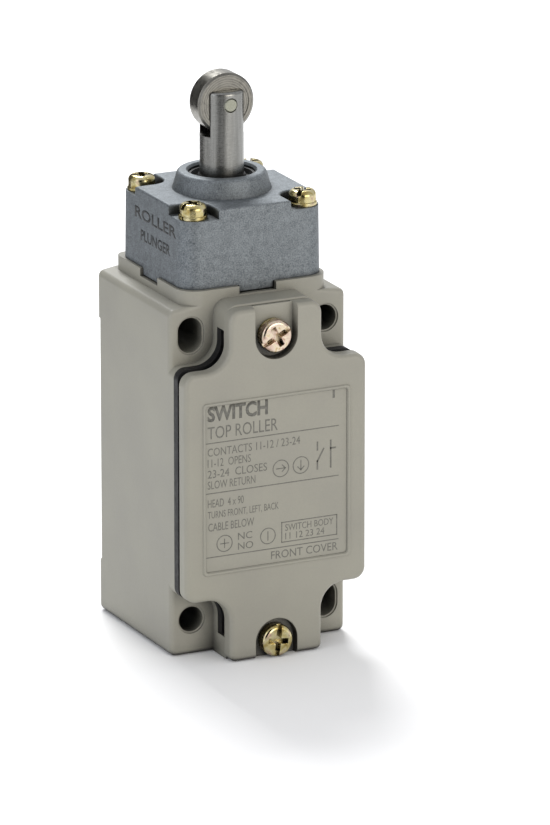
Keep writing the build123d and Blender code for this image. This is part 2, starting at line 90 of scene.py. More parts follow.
def paintedDieCast(name, look):
    # baked enamel on pressure die-cast aluminium: satin, faint orange peel, grey with a warm cast,
    # a slow drift in tone, and painted shade: the colour darkens in recesses and holes where little light
    # reaches
    material, tree = newMaterial(name)
    coords = addNode(tree, "ShaderNodeTexCoord").outputs["Object"]
    drift = addNode(tree, "ShaderNodeTexNoise", {
        "Vector": coords, "Scale": perMm(look["driftMm"]), "Detail": 3.0}).outputs["Fac"]
    speck = addNode(tree, "ShaderNodeTexNoise", {
        "Vector": coords, "Scale": perMm(look["speckMm"]), "Detail": 2.0, "Roughness": 0.6}).outputs["Fac"]
    mixed = addNode(tree, "ShaderNodeMix", {"Factor": look["speckShare"], "A": drift, "B": speck},
                    data_type="FLOAT").outputs["Result"]
    tone = addNode(tree, "ShaderNodeValToRGB", {"Fac": mixed},
                   [(0.3, look["dark"]), (0.7, look["light"])]).outputs["Color"]
    # painted shade: ambient occlusion darkens the enamel towards a near-black colour in recesses and holes
    exposed = addNode(tree, "ShaderNodeAmbientOcclusion", {"Distance": look["paintedShadeReachMm"] * mm},
                      samples=raySamples).outputs["AO"]
    unshaded = addNode(tree, "ShaderNodeMapRange", {
        "Value": exposed, "From Min": look["paintedShadeFull"], "From Max": look["paintedShadeNone"]}).outputs["Result"]
    painted = addNode(tree, "ShaderNodeMix", {
        "Factor": unshaded, "A": linearColor(look["paintedShade"]), "B": tone}, data_type="RGBA")
    peel = addNode(tree, "ShaderNodeTexNoise", {
        "Vector": coords, "Scale": perMm(look["peelMm"]), "Detail": 1.5}).outputs["Fac"]
    gloss = addNode(tree, "ShaderNodeMapRange", {
        "Value": speck, "From Min": 0.3, "From Max": 0.7,
        "To Min": look["roughness"] - 0.05, "To Max": look["roughness"] + 0.06}).outputs["Result"]
    edges = addNode(tree, "ShaderNodeBevel", {"Radius": look["edgeMm"] * mm},
                    samples=raySamples).outputs["Normal"]
    surface = addNode(tree, "ShaderNodeBump", {
        "Height": peel, "Distance": look["peelDepthMm"] * mm, "Strength": 0.5,
        "Normal": edges}).outputs["Normal"]
    shader = addNode(tree, "ShaderNodeBsdfPrincipled", {
        "Base Color": painted.outputs[mixedColor], "Roughness": gloss, "IOR": 1.5, "Normal": surface})
    addNode(tree, "ShaderNodeOutputMaterial", {"Surface": shader.outputs["BSDF"]})
    return material


def blastedZinc(name, look):
    # shot-blasted zinc die-casting: cool grey metal with a fine light and dark speckle and a matt sparkle,
    # the speckle drawn coarser than real blast marks so that it shows
    material, tree = newMaterial(name)
    coords = addNode(tree, "ShaderNodeTexCoord").outputs["Object"]
    fine = addNode(tree, "ShaderNodeTexNoise", {
        "Vector": coords, "Scale": perMm(look["grainMm"]), "Detail": 3.0, "Roughness": 0.75}).outputs["Fac"]
    broad = addNode(tree, "ShaderNodeTexNoise", {
        "Vector": coords, "Scale": perMm(look["cloudMm"]), "Detail": 3.0, "Roughness": 0.6}).outputs["Fac"]
    mixed = addNode(tree, "ShaderNodeMix", {"Factor": look["cloudShare"], "A": fine, "B": broad},
                    data_type="FLOAT").outputs["Result"]
    tone = addNode(tree, "ShaderNodeValToRGB", {"Fac": mixed}, [
        (0.36, look["dark"]), (0.64, look["light"])]).outputs["Color"]
    # painted shade: ambient occlusion darkens the zinc colour in the pockets and at the boss's foot
    exposed = addNode(tree, "ShaderNodeAmbientOcclusion", {"Distance": look["paintedShadeReachMm"] * mm},
                      samples=raySamples).outputs["AO"]
    unshaded = addNode(tree, "ShaderNodeMapRange", {
        "Value": exposed, "From Min": look["paintedShadeFull"], "From Max": look["paintedShadeNone"]}).outputs["Result"]
    cast = addNode(tree, "ShaderNodeMix", {
        "Factor": unshaded, "A": linearColor(look["paintedShade"]), "B": tone}, data_type="RGBA")
    gloss = addNode(tree, "ShaderNodeMapRange", {
        "Value": fine, "From Min": 0.35, "From Max": 0.65,
        "To Min": look["roughness"] - 0.1, "To Max": look["roughness"] + 0.1}).outputs["Result"]
    edges = addNode(tree, "ShaderNodeBevel", {"Radius": look["edgeMm"] * mm},
                    samples=raySamples).outputs["Normal"]
    surface = addNode(tree, "ShaderNodeBump", {
        "Height": fine, "Distance": look["grainDepthMm"] * mm, "Strength": 0.45,
        "Normal": edges}).outputs["Normal"]
    shader = addNode(tree, "ShaderNodeBsdfPrincipled", {
        "Base Color": cast.outputs[mixedColor], "Roughness": gloss, "Metallic": look["metallic"],
        "Normal": surface})
    addNode(tree, "ShaderNodeOutputMaterial", {"Surface": shader.outputs["BSDF"]})
    return material


rubberSkin = {"bloomMm": 1.2, "poreMm": 0.3, "poreDepthMm": 0.01}


def mouldedRubber(name, look):
    # moulded nitrile rubber: black, dull, with a dusty bloom
    material, tree = newMaterial(name)
    coords = addNode(tree, "ShaderNodeTexCoord").outputs["Object"]
    bloom = addNode(tree, "ShaderNodeTexNoise", {
        "Vector": coords, "Scale": perMm(rubberSkin["bloomMm"]), "Detail": 3.0,
        "Roughness": 0.6}).outputs["Fac"]
    tone = addNode(tree, "ShaderNodeValToRGB", {"Fac": bloom},
                   [(0.3, look["dark"]), (0.7, look["light"])]).outputs["Color"]
    gloss = addNode(tree, "ShaderNodeMapRange", {
        "Value": bloom, "From Min": 0.3, "From Max": 0.7, "To Min": 0.5, "To Max": 0.7}).outputs["Result"]
    pores = addNode(tree, "ShaderNodeTexNoise", {
        "Vector": coords, "Scale": perMm(rubberSkin["poreMm"])}).outputs["Fac"]
    surface = addNode(tree, "ShaderNodeBump", {
        "Height": pores, "Distance": rubberSkin["poreDepthMm"] * mm, "Strength": 0.5}).outputs["Normal"]
    shader = addNode(tree, "ShaderNodeBsdfPrincipled", {
        "Base Color": tone, "Roughness": gloss, "IOR": 1.52, "Normal": surface})
    addNode(tree, "ShaderNodeOutputMaterial", {"Surface": shader.outputs["BSDF"]})
    return material


def groundSteel(name, look):
    # stainless bar ground between centres: fine rings round the bar and faint streaks along it,
    # the rings drawn coarser than real grinding marks so that they show
    material, tree = newMaterial(name)
    coords = addNode(tree, "ShaderNodeTexCoord").outputs["Object"]
    pulled = addNode(tree, "ShaderNodeMapping", {
        "Vector": coords, "Scale": (1, 1, look["ringSqueeze"])}).outputs["Vector"]
    rings = addNode(tree, "ShaderNodeTexNoise", {
        "Vector": pulled, "Scale": perMm(look["ringMm"] * look["ringSqueeze"]), "Detail": 3.0,
        "Roughness": 0.7}).outputs["Fac"]
    streaks = addNode(tree, "ShaderNodeMapping", {
        "Vector": coords, "Scale": (1, 1, look["streakPull"])}).outputs["Vector"]
    wiped = addNode(tree, "ShaderNodeTexNoise", {
        "Vector": streaks, "Scale": perMm(look["streakMm"]), "Detail": 3.0}).outputs["Fac"]
    mixed = addNode(tree, "ShaderNodeMix", {"Factor": 0.5, "A": rings, "B": wiped},
                    data_type="FLOAT").outputs["Result"]
    tone = addNode(tree, "ShaderNodeValToRGB", {"Fac": mixed},
                   [(0.35, look["dark"]), (0.65, look["light"])]).outputs["Color"]
    gloss = addNode(tree, "ShaderNodeMapRange", {
        "Value": rings, "From Min": 0.3, "From Max": 0.7,
        "To Min": look["roughness"] - 0.05, "To Max": look["roughness"] + 0.08}).outputs["Result"]
    edges = addNode(tree, "ShaderNodeBevel", {"Radius": look["edgeMm"] * mm},
                    samples=raySamples).outputs["Normal"]
    surface = addNode(tree, "ShaderNodeBump", {
        "Height": rings, "Distance": look["ringDepthMm"] * mm, "Strength": 0.6,
        "Normal": edges}).outputs["Normal"]
    shader = addNode(tree, "ShaderNodeBsdfPrincipled", {
        "Base Color": tone, "Roughness": gloss, "Metallic": 1.0, "Normal": surface})
    addNode(tree, "ShaderNodeOutputMaterial", {"Surface": shader.outputs["BSDF"]})
    return material


def turnedSteel(name, look):
    # stainless faced on a lathe: fine circles round the pin, which runs along Y, with dull blotches,
    # the circles drawn coarser than a real feed mark so that they show
    material, tree = newMaterial(name)
    coords = addNode(tree, "ShaderNodeTexCoord").outputs["Object"]
    centred = addNode(tree, "ShaderNodeMapping", {
        "Vector": coords, "Location": (0, 0, -look["axisZMm"] * mm)}).outputs["Vector"]
    # a ring wave repeats every 2 pi / 20 of its scaled radius
    wave = addNode(tree, "ShaderNodeTexWave", {
        "Vector": centred, "Scale": perMm(look["pitchMm"]) * math.pi / 10, "Distortion": 1.5, "Detail": 2.0,
        "Detail Scale": 3.0}, wave_type="RINGS", rings_direction="Y").outputs["Fac"]
    blotch = addNode(tree, "ShaderNodeTexNoise", {
        "Vector": coords, "Scale": perMm(look["blotchMm"]), "Detail": 4.0, "Roughness": 0.65}).outputs["Fac"]
    mixed = addNode(tree, "ShaderNodeMix", {"Factor": 0.65, "A": wave, "B": blotch},
                    data_type="FLOAT").outputs["Result"]
    tone = addNode(tree, "ShaderNodeValToRGB", {"Fac": mixed},
                   [(0.25, look["dark"]), (0.75, look["light"])]).outputs["Color"]
    gloss = addNode(tree, "ShaderNodeMapRange", {
        "Value": blotch, "From Min": 0.3, "From Max": 0.7,
        "To Min": look["roughness"] - 0.07, "To Max": look["roughness"] + 0.12}).outputs["Result"]
    edges = addNode(tree, "ShaderNodeBevel", {"Radius": look["edgeMm"] * mm},
                    samples=raySamples).outputs["Normal"]
    surface = addNode(tree, "ShaderNodeBump", {
        "Height": wave, "Distance": look["ringDepthMm"] * mm, "Strength": 0.5,
        "Normal": edges}).outputs["Normal"]
    shader = addNode(tree, "ShaderNodeBsdfPrincipled", {
        "Base Color": tone, "Roughness": gloss, "Metallic": 1.0, "Normal": surface})
    addNode(tree, "ShaderNodeOutputMaterial", {"Surface": shader.outputs["BSDF"]})
    return material


plating = {"paintedRecessShadeReachMm": 1.6, "dentMm": 0.8, "dentDepthMm": 0.03, "edgeMm": 0.14}


def passivatedZinc(name, look):
    # bright zinc plate with a chromate film: pale gold with drifting pink and green from barrel plating,
    # and painted shade that darkens the colour in the drive recess
    material, tree = newMaterial(name)
    coords = addNode(tree, "ShaderNodeTexCoord").outputs["Object"]
    drift = addNode(tree, "ShaderNodeTexNoise", {
        "Vector": coords, "Scale": perMm(look["driftMm"]), "Detail": 2.0, "Distortion": 0.6}).outputs["Fac"]
    film = addNode(tree, "ShaderNodeValToRGB", {"Fac": drift}, look["film"]).outputs["Color"]
    # painted shade: ambient occlusion darkens the plating towards a dark colour in the drive recess
    exposed = addNode(tree, "ShaderNodeAmbientOcclusion", {"Distance": plating["paintedRecessShadeReachMm"] * mm},
                      samples=recessSamples).outputs["AO"]
    unshaded = addNode(tree, "ShaderNodeMapRange", {
        "Value": exposed, "From Min": look["paintedRecessShadeFull"], "From Max": look["paintedRecessShadeNone"]}).outputs["Result"]
    plated = addNode(tree, "ShaderNodeMix", {
        "Factor": unshaded, "A": linearColor(look["paintedRecessShade"]), "B": film}, data_type="RGBA")
    dents = addNode(tree, "ShaderNodeTexNoise", {
        "Vector": coords, "Scale": perMm(plating["dentMm"]), "Detail": 2.0}).outputs["Fac"]
    gloss = addNode(tree, "ShaderNodeMapRange", {
        "Value": dents, "From Min": 0.3, "From Max": 0.7,
        "To Min": look["roughness"] - 0.06, "To Max": look["roughness"] + 0.12}).outputs["Result"]
    edges = addNode(tree, "ShaderNodeBevel", {"Radius": plating["edgeMm"] * mm},
                    samples=raySamples).outputs["Normal"]
    surface = addNode(tree, "ShaderNodeBump", {
        "Height": dents, "Distance": plating["dentDepthMm"] * mm, "Strength": 0.6,
        "Normal": edges}).outputs["Normal"]
    shader = addNode(tree, "ShaderNodeBsdfPrincipled", {
        "Base Color": plated.outputs[mixedColor], "Roughness": gloss, "Metallic": 1.0, "Normal": surface})
    addNode(tree, "ShaderNodeOutputMaterial", {"Surface": shader.outputs["BSDF"]})
    return material


drawDepthMm = 0.005      # depth of drawing lines and pores on the small metal parts


def innerMetal(name, look):
    # drawn, rolled or sintered metal inside the case: even tone with fine drawing lines or pores
    material, tree = newMaterial(name)
    coords = addNode(tree, "ShaderNodeTexCoord").outputs["Object"]
    lines = addNode(tree, "ShaderNodeTexNoise", {
        "Vector": coords, "Scale": perMm(look["grainMm"]), "Detail": 3.0, "Roughness": 0.6}).outputs["Fac"]
    tone = addNode(tree, "ShaderNodeValToRGB", {"Fac": lines},
                   [(0.3, look["dark"]), (0.7, look["light"])]).outputs["Color"]
    gloss = addNode(tree, "ShaderNodeMapRange", {
        "Value": lines, "From Min": 0.3, "From Max": 0.7,
        "To Min": look["roughness"] - 0.05, "To Max": look["roughness"] + 0.1}).outputs["Result"]
    surface = addNode(tree, "ShaderNodeBump", {
        "Height": lines, "Distance": drawDepthMm * mm, "Strength": 0.5}).outputs["Normal"]
    shader = addNode(tree, "ShaderNodeBsdfPrincipled", {
        "Base Color": tone, "Roughness": gloss, "Metallic": 1.0, "Normal": surface})
    addNode(tree, "ShaderNodeOutputMaterial", {"Surface": shader.outputs["BSDF"]})
    return material


plasticSkin = {"flowMm": 4, "flowPull": 0.35, "sparkMm": 0.25, "sparkDepthMm": 0.006}


def mouldedPlastic(name, look):
    # moulded plastic: soft sheen, faint flow marks and a fine spark-eroded texture
    material, tree = newMaterial(name)
    coords = addNode(tree, "ShaderNodeTexCoord").outputs["Object"]
    pulled = addNode(tree, "ShaderNodeMapping", {
        "Vector": coords, "Scale": (1, 1, plasticSkin["flowPull"])}).outputs["Vector"]
    flow = addNode(tree, "ShaderNodeTexNoise", {
        "Vector": pulled, "Scale": perMm(plasticSkin["flowMm"]), "Detail": 3.0,
        "Distortion": 0.4}).outputs["Fac"]
    tone = addNode(tree, "ShaderNodeValToRGB", {"Fac": flow},
                   [(0.3, look["dark"]), (0.7, look["light"])]).outputs["Color"]
    spark = addNode(tree, "ShaderNodeTexNoise", {
        "Vector": coords, "Scale": perMm(plasticSkin["sparkMm"])}).outputs["Fac"]
    gloss = addNode(tree, "ShaderNodeMapRange", {
        "Value": spark, "From Min": 0.3, "From Max": 0.7,
        "To Min": look["roughness"] - 0.05, "To Max": look["roughness"] + 0.07}).outputs["Result"]
    surface = addNode(tree, "ShaderNodeBump", {
        "Height": spark, "Distance": plasticSkin["sparkDepthMm"] * mm, "Strength": 0.5}).outputs["Normal"]
    shader = addNode(tree, "ShaderNodeBsdfPrincipled", {
        "Base Color": tone, "Roughness": gloss, "IOR": 1.5, "Normal": surface})
    addNode(tree, "ShaderNodeOutputMaterial", {"Surface": shader.outputs["BSDF"]})
    return material


inkPatchMm = 0.6         # size of the thin places that the pad leaves


def printedInk(name, look):
    # pad-printed ink: thin, matt, a little patchy where the pad lifted
    material, tree = newMaterial(name)
    coords = addNode(tree, "ShaderNodeTexCoord").outputs["Object"]
    patchy = addNode(tree, "ShaderNodeTexNoise", {
        "Vector": coords, "Scale": perMm(inkPatchMm), "Detail": 3.0, "Roughness": 0.6}).outputs["Fac"]
    tone = addNode(tree, "ShaderNodeValToRGB", {"Fac": patchy},
                   [(0.3, look["dark"]), (0.72, look["light"])]).outputs["Color"]
    gloss = addNode(tree, "ShaderNodeMapRange", {
        "Value": patchy, "From Min": 0.3, "From Max": 0.7, "To Min": 0.5, "To Max": 0.65}).outputs["Result"]
    shader = addNode(tree, "ShaderNodeBsdfPrincipled", {
        "Base Color": tone, "Roughness": gloss, "IOR": 1.5})
    addNode(tree, "ShaderNodeOutputMaterial", {"Surface": shader.outputs["BSDF"]})
    return material


# paintedShade colour and ranges: painted shade darkening the recesses of the case, cover and head
enamel = {"dark": "838178", "light": "8D8B7F", "paintedShade": "0E0D0B", "paintedShadeReachMm": 7, "paintedShadeFull": 0.24,
          "paintedShadeNone": 0.6, "roughness": 0.46, "driftMm": 16, "speckMm": 0.5, "speckShare": 0.3,
          "peelMm": 0.9, "peelDepthMm": 0.012, "edgeMm": 0.22}
zincHead = {"dark": "4C5155", "light": "888E92", "paintedShade": "1A1B1C", "paintedShadeReachMm": 3.5, "paintedShadeFull": 0.32,
            "paintedShadeNone": 0.82, "metallic": 0.6, "roughness": 0.57, "grainMm": 0.28, "grainDepthMm": 0.03,
            "cloudMm": 1.6, "cloudShare": 0.2, "edgeMm": 0.2}
# paintedRecessShade colour and ranges: painted shade in the screws' drive recesses
goldFilm = {"film": [(0.3, "9A8650"), (0.45, "BBAD78"), (0.58, "CAC198"), (0.7, "B09684")],
            "paintedRecessShade": "2E2410", "paintedRecessShadeFull": 0.2, "paintedRecessShadeNone": 0.7, "driftMm": 1.8, "roughness": 0.2}
pinkFilm = {"film": [(0.3, "A8856F"), (0.45, "CDB8A8"), (0.58, "D6C9B0"), (0.7, "B09466")],
            "paintedRecessShade": "5A451C", "paintedRecessShadeFull": 0.2, "paintedRecessShadeNone": 0.65, "driftMm": 1.6, "roughness": 0.2}
groundBar = {"dark": "7D7D7A", "light": "949491", "roughness": 0.29, "ringMm": 0.1, "ringDepthMm": 0.004,
             "ringSqueeze": 14, "streakMm": 0.5, "streakPull": 0.06, "edgeMm": 0.12}
turnedRoller = {"dark": "696762", "light": "8B8982", "roughness": 0.3, "pitchMm": 0.5, "ringDepthMm": 0.008,
                "axisZMm": 110.5, "blotchMm": 1.3, "edgeMm": 0.1}

materials = {
    "painted_case": paintedDieCast("enamelledCase", enamel),
    "painted_cover": paintedDieCast("enamelledCover", enamel),
    "gasket_rubber": mouldedRubber("nitrileGasket", {"dark": "060607", "light": "101113"}),
    "seal_rubber": mouldedRubber("nitrileWiper", {"dark": "060607", "light": "101012"}),
    "zinc_head": blastedZinc("blastedZincHead", zincHead),
    "cover_screw_zinc": passivatedZinc("palePassivatedZinc", pinkFilm),
    "screw_gold": passivatedZinc("yellowPassivatedZinc", goldFilm),
    "plunger_steel": groundSteel("groundStainless", groundBar),
    "roller_steel": turnedSteel("turnedStainless", turnedRoller),
    "pin_steel": innerMetal("mattStainlessPin", {
        "dark": "87897C", "light": "A0A196", "roughness": 0.5, "grainMm": 0.35}),
    "bush_bronze": innerMetal("sinteredBronze", {
        "dark": "7A5630", "light": "A97C4B", "roughness": 0.5, "grainMm": 0.3}),
    "spring_steel": innerMetal("drawnSpringSteel", {
        "dark": "7E8083", "light": "A9ABAE", "roughness": 0.3, "grainMm": 0.6}),
    "terminal_zinc": innerMetal("clearZincPlate", {
        "dark": "A0A1A0", "light": "C4C6C6", "roughness": 0.28, "grainMm": 0.8}),
    "ground_green": innerMetal("greenPassivatedZinc", {
        "dark": "1E6B34", "light": "37894A", "roughness": 0.35, "grainMm": 0.9}),
    "contact_silver": innerMetal("silverRivet", {
        "dark": "C9C8C3", "light": "E4E3DF", "roughness": 0.25, "grainMm": 0.5}),
    "terminal_brass": innerMetal("rolledBrassStrip", {
        "dark": "A0803A", "light": "C4A45A", "roughness": 0.32, "grainMm": 0.7}),
    "push_rod_plastic": mouldedPlastic("naturalAcetal", {
        "dark": "CFCDC4", "light": "DEDCD4", "roughness": 0.4}),
    "block_thermoset": mouldedPlastic("blackPhenolic", {
        "dark": "151618", "light": "232427", "roughness": 0.45}),
    "block_cover_plastic": mouldedPlastic("smokedPolycarbonate", {
        "dark": "2A2B2F", "light": "3A3B40", "roughness": 0.2}),
    "carriage_plastic": mouldedPlastic("redNylon", {
        "dark": "96271A", "light": "B53A28", "roughness": 0.42}),
}
coverInk = printedInk("greyPadPrint", {"dark": "4E4D47", "light": "6A6962"})
headInk = printedInk("blackEtchMark", {"dark": "1C1D1D", "light": "3A3B3B"})

slotOf = {part["node"]: part["material_slot"] for part in frame["record"]["subparts"]}
for nodeName, nodeObject in frame["nodes"].items():
    nodeObject.data.materials.clear()
    nodeObject.data.materials.append(materials[slotOf[nodeName]])
print("materials on", len(slotOf), "nodes")


def addPiece(name, mesh, material):
    # finishes a bmesh as a piece of the housing, with its place already in the mesh
    data = bpy.data.meshes.new(name)
    mesh.to_mesh(data)
    mesh.free()
    data.materials.append(material)
    piece = bpy.data.objects.new(name, data)
    scene.collection.objects.link(piece)
    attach(piece, "housing")
    print(name, "has", len(data.polygons), "faces")


lettering = {"curveSteps": 3, "mergeDistance": 0.005}


def addText(mesh, text, left, base, width, height, bold, ink):
    # lettering in the XY plane with its lower left corner at (left, base), fitted to a width and a height
    curve = bpy.data.curves.new("lettering", "FONT")
    curve.body = text
    curve.offset = bold
    curve.resolution_u = lettering["curveSteps"]
    carrier = bpy.data.objects.new("lettering", curve)
    scene.collection.objects.link(carrier)
    flat = bpy.data.meshes.new_from_object(carrier.evaluated_get(bpy.context.evaluated_depsgraph_get()))
    bpy.data.objects.remove(carrier)
    bpy.data.curves.remove(curve)
    xs = [v.co.x for v in flat.vertices]
    ys = [v.co.y for v in flat.vertices]
    fit = Matrix.Diagonal((width / (max(xs) - min(xs)), height / (max(ys) - min(ys)), 1, 1))
    flat.transform(Matrix.Translation((left, base, 0)) @ fit @ Matrix.Translation((-min(xs), -min(ys), 0)))
    letters = bmesh.new()
    letters.from_mesh(flat)
    bpy.data.meshes.remove(flat)
    bmesh.ops.remove_doubles(letters, verts=letters.verts, dist=lettering["mergeDistance"])
    top = bmesh.ops.extrude_face_region(letters, geom=letters.faces[:])
    raised = [item for item in top["geom"] if isinstance(item, bmesh.types.BMVert)]
    bmesh.ops.translate(letters, verts=raised, vec=(0, 0, ink))
    bmesh.ops.recalc_face_normals(letters, faces=letters.faces)
    joined = bpy.data.meshes.new("joined")
    letters.to_mesh(joined)
    letters.free()
    mesh.from_mesh(joined)
    bpy.data.meshes.remove(joined)


def addLine(mesh, start, end, width, ink):
    # a printed line between two points of the XY plane
    start, end = Vector((*start, 0)), Vector((*end, 0))
    along = end - start
    turn = Matrix.Rotation(math.atan2(along.y, along.x), 4, "Z")
    size = Matrix.Diagonal((along.length + width, width, ink, 1))
    middle = Matrix.Translation((start + end) / 2 + Vector((0, 0, ink / 2)))
    bmesh.ops.create_cube(mesh, size=1, matrix=middle @ turn @ size)


ringSteps = 40


def addRing(mesh, centre, radius, width, ink):
    # a printed circle: its small section spun round the centre
    section = [mesh.verts.new((centre[0] + r, centre[1], h))
               for r, h in ((radius, 0), (radius + width, 0), (radius + width, ink), (radius, ink))]
    edges = [mesh.edges.new((section[i], section[(i + 1) % 4])) for i in range(4)]
    bmesh.ops.spin(mesh, geom=section + edges, cent=(*centre, 0), axis=(0, 0, 1),
                   angle=2 * math.pi, steps=ringSteps, use_merge=True)


printedField = {     # millimetres on the cover's panel, X across and Z up
    "ink": 0.02, "line": 0.2, "frameProudMm": 0.28, "panelSunkMm": 0.15,
    # words, left end, foot, length, height and boldness
    "titles": [("SWITCH", -15.3, 51.6, 13.4, 3.2, 0.035), ("TOP ROLLER", -15.3, 48.0, 15.6, 2.6, 0.0)],
    "rows": [("CONTACTS 11-12 / 23-24", -15.3, 44.4, 20.6, 1.7, 0.0),
             ("11-12  OPENS", -15.3, 42.1, 9.6, 1.7, 0.0),
             ("23-24  CLOSES", -15.3, 39.8, 13.2, 1.7, 0.0), ("SLOW RETURN", -15.3, 37.5, 10.6, 1.7, 0.0),
             ("HEAD  4 x 90", -15.3, 33.6, 8.0, 1.7, 0.0),
             ("TURNS FRONT, LEFT, BACK", -15.3, 31.1, 15.8, 1.7, 0.0),
             ("CABLE BELOW", -15.2, 28.6, 10.2, 1.7, 0.0), ("NC", -8.6, 26.0, 3.2, 1.5, 0.0),
             ("NO", -8.6, 23.9, 3.4, 1.5, 0.0), ("SWITCH BODY", 2.0, 26.4, 10.8, 1.4, 0.0),
             ("11 12 23 24", 2.0, 24.6, 8.8, 1.4, 0.0), ("FRONT COVER", -1.2, 20.8, 15.0, 1.7, 0.0),
             ("1", 12.6, 53.1, 0.5, 1.7, 0.0)],
    # three rules across and the four sides of the small box
    "rules": [((-15.7, 47.15), (13.9, 47.15)), ((-15.7, 36.6), (13.9, 36.6)), ((-15.7, 23.1), (13.9, 23.1)),
              ((1.2, 24.1), (13.6, 24.1)), ((1.2, 28.3), (13.6, 28.3)),
              ((1.2, 24.1), (1.2, 28.3)), ((13.6, 24.1), (13.6, 28.3))],
    "rings": [((1.0, 39.8), 1.65), ((5.5, 39.9), 1.65), ((-11.6, 25.7), 1.6), ((-1.9, 25.9), 1.55)],
    # arrow in one circle, arrow down in the next, a cross and an upright bar in the lower two
    "strokes": [((0.0, 39.8), (2.0, 39.8)), ((1.3, 40.5), (2.0, 39.8)), ((1.3, 39.1), (2.0, 39.8)),
                ((5.5, 40.9), (5.5, 38.9)), ((4.8, 39.6), (5.5, 38.9)), ((6.2, 39.6), (5.5, 38.9)),
                ((-12.5, 25.7), (-10.7, 25.7)), ((-11.6, 24.8), (-11.6, 26.6)),
                ((-1.9, 25.0), (-1.9, 26.8))],
    # circuit symbols at the right: an open contact beside a closed one
    "symbol": [((9.2, 38.6), (9.2, 40.2)), ((9.2, 42.6), (9.2, 44.2)), ((9.2, 40.2), (10.6, 42.7)),
               ((12.2, 38.6), (12.2, 42.6)), ((12.2, 42.6), (12.2, 44.2)), ((12.2, 42.6), (13.2, 42.6))],
    "symbolLine": 0.34,
}


def makePrintedField(look):
    mesh = bmesh.new()
    for row in look["titles"] + look["rows"]:
        addText(mesh, *row, look["ink"])
    for start, end in look["rules"] + look["strokes"]:
        addLine(mesh, start, end, look["line"], look["ink"])
    for start, end in look["symbol"]:
        addLine(mesh, start, end, look["symbolLine"], look["ink"])
    for centre, radius in look["rings"]:
        addRing(mesh, centre, radius, look["line"], look["ink"])
    bmesh.ops.recalc_face_normals(mesh, faces=mesh.faces)
    # the panel is sunk behind the cover's front, and its frame stands proud of that
    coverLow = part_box("cover")[0]
    panelY = coverLow[y] + (look["frameProudMm"] + look["panelSunkMm"]) * mm
    stand = Matrix.Translation((0, panelY, 0)) @ Matrix.Rotation(math.pi / 2, 4, "X") @ Matrix.Scale(mm, 4)
    bmesh.ops.transform(mesh, matrix=stand, verts=mesh.verts)
    addPiece("printed_field", mesh, coverInk)


headMark = {     # rows along the head's left face: words, start, foot, length, height and boldness
    "rows": [("ROLLER", -8.0, 86.3, 19.6, 2.4, 0.02), ("PLUNGER", -5.2, 82.0, 14.0, 2.3, 0.02)],
    "ink": 0.02, "draftMm": 0.2, "riseMm": 16.1,
}


def makeHeadMark(look):
    mesh = bmesh.new()
    for row in look["rows"]:
        addText(mesh, *row, look["ink"])
    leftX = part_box("head_block")[0][x]
    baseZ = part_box("case")[1][z]
    lean = math.atan2(look["draftMm"], look["riseMm"])
    bmesh.ops.translate(mesh, verts=mesh.verts, vec=(0, -baseZ / mm, 0))
    # from the XY plane to the left face, reading towards the front, then leaning with the casting's draft
    stand = (Matrix.Translation((leftX, 0, baseZ)) @ Matrix.Rotation(lean, 4, "Y")
             @ Matrix.Rotation(-math.pi / 2, 4, "Z") @ Matrix.Rotation(math.pi / 2, 4, "X")
             @ Matrix.Scale(mm, 4))
    bmesh.ops.transform(mesh, matrix=stand, verts=mesh.verts)
    addPiece("head_mark", mesh, headInk)


conduitThread = {     # millimetres; the root lies just outside the bore, so the ridge grows out of the wall
    "radius": 9.3, "depth": 0.45, "pitch": 1.5, "turns": 7, "stepsPerTurn": 36, "startZ": 0.6,
    "rootShare": 0.45, "crestShare": 0.1,
}


def makeConduitThread(look):
    # a ridge with a blunt crest, spun upward round the entry
    mesh = bmesh.new()
    pitch = look["pitch"]
    crest = look["radius"] - look["depth"]
    root, tip = look["rootShare"] * pitch, look["crestShare"] * pitch
    profile = [(look["radius"], -root), (crest, -tip), (crest, tip), (look["radius"], root)]
    verts = [mesh.verts.new((r, 0, look["startZ"] + pitch / 2 + h)) for r, h in profile]
    start = mesh.faces.new(verts)
    bmesh.ops.spin(mesh, geom=[start], cent=(0, 0, 0), axis=(0, 0, 1),
                   dvec=(0, 0, pitch / look["stepsPerTurn"]),
                   angle=2 * math.pi * look["turns"], steps=look["turns"] * look["stepsPerTurn"])
    bmesh.ops.recalc_face_normals(mesh, faces=mesh.faces)
    bmesh.ops.transform(mesh, matrix=Matrix.Scale(mm, 4), verts=mesh.verts)
    addPiece("conduit_thread", mesh, materials["painted_case"])


makePrintedField(printedField)
makeHeadMark(headMark)
makeConduitThread(conduitThread)


# half width in metres; the drop keeps the floor off the case's bottom face
floorLook = {"color": "F2F2F2", "roughness": 0.9, "specular": 0.1, "halfWidth": 3.0, "dropMm": 0.02}


def makeFloor(look):
    mesh = bmesh.new()
    bmesh.ops.create_grid(mesh, x_segments=1, y_segments=1, size=look["halfWidth"],
                          matrix=Matrix.Translation((0, 0, -look["dropMm"] * mm)))
    data = bpy.data.meshes.new("floor")
    mesh.to_mesh(data)
    mesh.free()
    floor = bpy.data.objects.new("floor", data)
    scene.collection.objects.link(floor)
    material, tree = newMaterial("whitePaperSweep")   # matt paper, too even for a pattern to show
    shader = addNode(tree, "ShaderNodeBsdfPrincipled", {
        "Base Color": linearColor(look["color"]), "Roughness": look["roughness"],
        "Specular IOR Level": look["specular"]})
    addNode(tree, "ShaderNodeOutputMaterial", {"Surface": shader.outputs["BSDF"]})
    data.materials.append(material)


